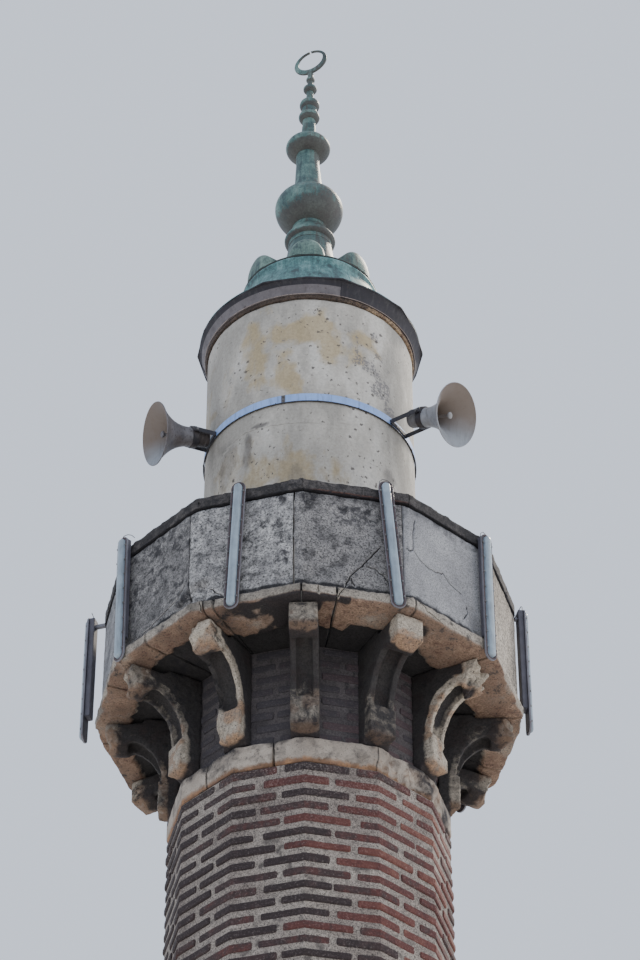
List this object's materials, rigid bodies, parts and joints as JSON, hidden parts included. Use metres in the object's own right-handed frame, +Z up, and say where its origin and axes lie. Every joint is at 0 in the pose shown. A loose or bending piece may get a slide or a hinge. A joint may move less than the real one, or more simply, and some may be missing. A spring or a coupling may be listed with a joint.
{
  "type": "brick minaret with a corbelled balcony",
  "caption": "Twelve-sided brick minaret on a square stone base, with a bracketed balcony, a plastered upper drum, horn loudspeakers and a green copper finial.",
  "frame": {"origin": "middle of the foot, on the ground", "axes": "+Z up the tower; -Y is the side of the ground door and of the view"},
  "size_m": [3.6686, 3.4698, 25.0957],
  "materials": {
    "base_stone": "squared pale stone, weathered",
    "ring_stone": "pale cut stone",
    "brickwork": "old red brick in wide pale mortar",
    "bracket_stone": "weathered carved stone",
    "slab_stone": "stone with a rust brown underside",
    "parapet_stone": "rough grey stone with black lichen",
    "coping_stone": "dark weathered stone",
    "lamp_body": "pale lamp cover in a metal channel",
    "plaster": "lime plaster with ochre stains",
    "door_timber": "weathered boards",
    "blue_steel": "pale blue painted steel strip",
    "horn_metal": "grey enamelled aluminium",
    "dark_steel": "rusted dark steel",
    "cable_sheath": "black rubber sheath",
    "eave_timber": "dark stained timber",
    "eave_iron": "dark sheet iron",
    "copper": "copper with green patina"
  },
  "bodies": {
    "root": {"base_plinth": "base_stone", "base_walls": "base_stone", "base_cornice": "base_stone", "transition": "base_stone", "lower_ring": "ring_stone", "upper_ring": "ring_stone", "shaft_lower": "brickwork", "shaft_upper": "brickwork", "corbel_drum": "brickwork", "bracket_01": "bracket_stone", "bracket_02": "bracket_stone", "bracket_03": "bracket_stone", "bracket_04": "bracket_stone", "bracket_05": "bracket_stone", "bracket_06": "bracket_stone", "bracket_07": "bracket_stone", "bracket_08": "bracket_stone", "bracket_09": "bracket_stone", "bracket_10": "bracket_stone", "bracket_11": "bracket_stone", "bracket_12": "bracket_stone", "balcony_slab": "slab_stone", "parapet_slab_01": "parapet_stone", "parapet_slab_02": "parapet_stone", "parapet_slab_03": "parapet_stone", "parapet_slab_04": "parapet_stone", "parapet_slab_05": "parapet_stone", "parapet_slab_06": "parapet_stone", "parapet_slab_07": "parapet_stone", "parapet_slab_08": "parapet_stone", "parapet_slab_09": "parapet_stone", "parapet_slab_10": "parapet_stone", "parapet_slab_11": "parapet_stone", "parapet_slab_12": "parapet_stone", "parapet_coping": "coping_stone", "lamp_01": "lamp_body", "lamp_02": "lamp_body", "lamp_03": "lamp_body", "lamp_04": "lamp_body", "lamp_05": "lamp_body", "lamp_06": "lamp_body", "lamp_07": "lamp_body", "lamp_08": "lamp_body", "lamp_09": "lamp_body", "lamp_10": "lamp_body", "upper_drum": "plaster", "base_door": "door_timber", "balcony_door": "door_timber", "speaker_band": "blue_steel", "horn_left": "horn_metal", "horn_right": "horn_metal", "horn_bracket_left": "dark_steel", "horn_bracket_right": "dark_steel", "speaker_cable": "cable_sheath", "eave_ring": "eave_timber", "eave": "eave_iron", "roof_bell": "copper", "finial_lower": "copper", "finial_upper": "copper", "crescent": "copper"}
  },
  "joints": []
}
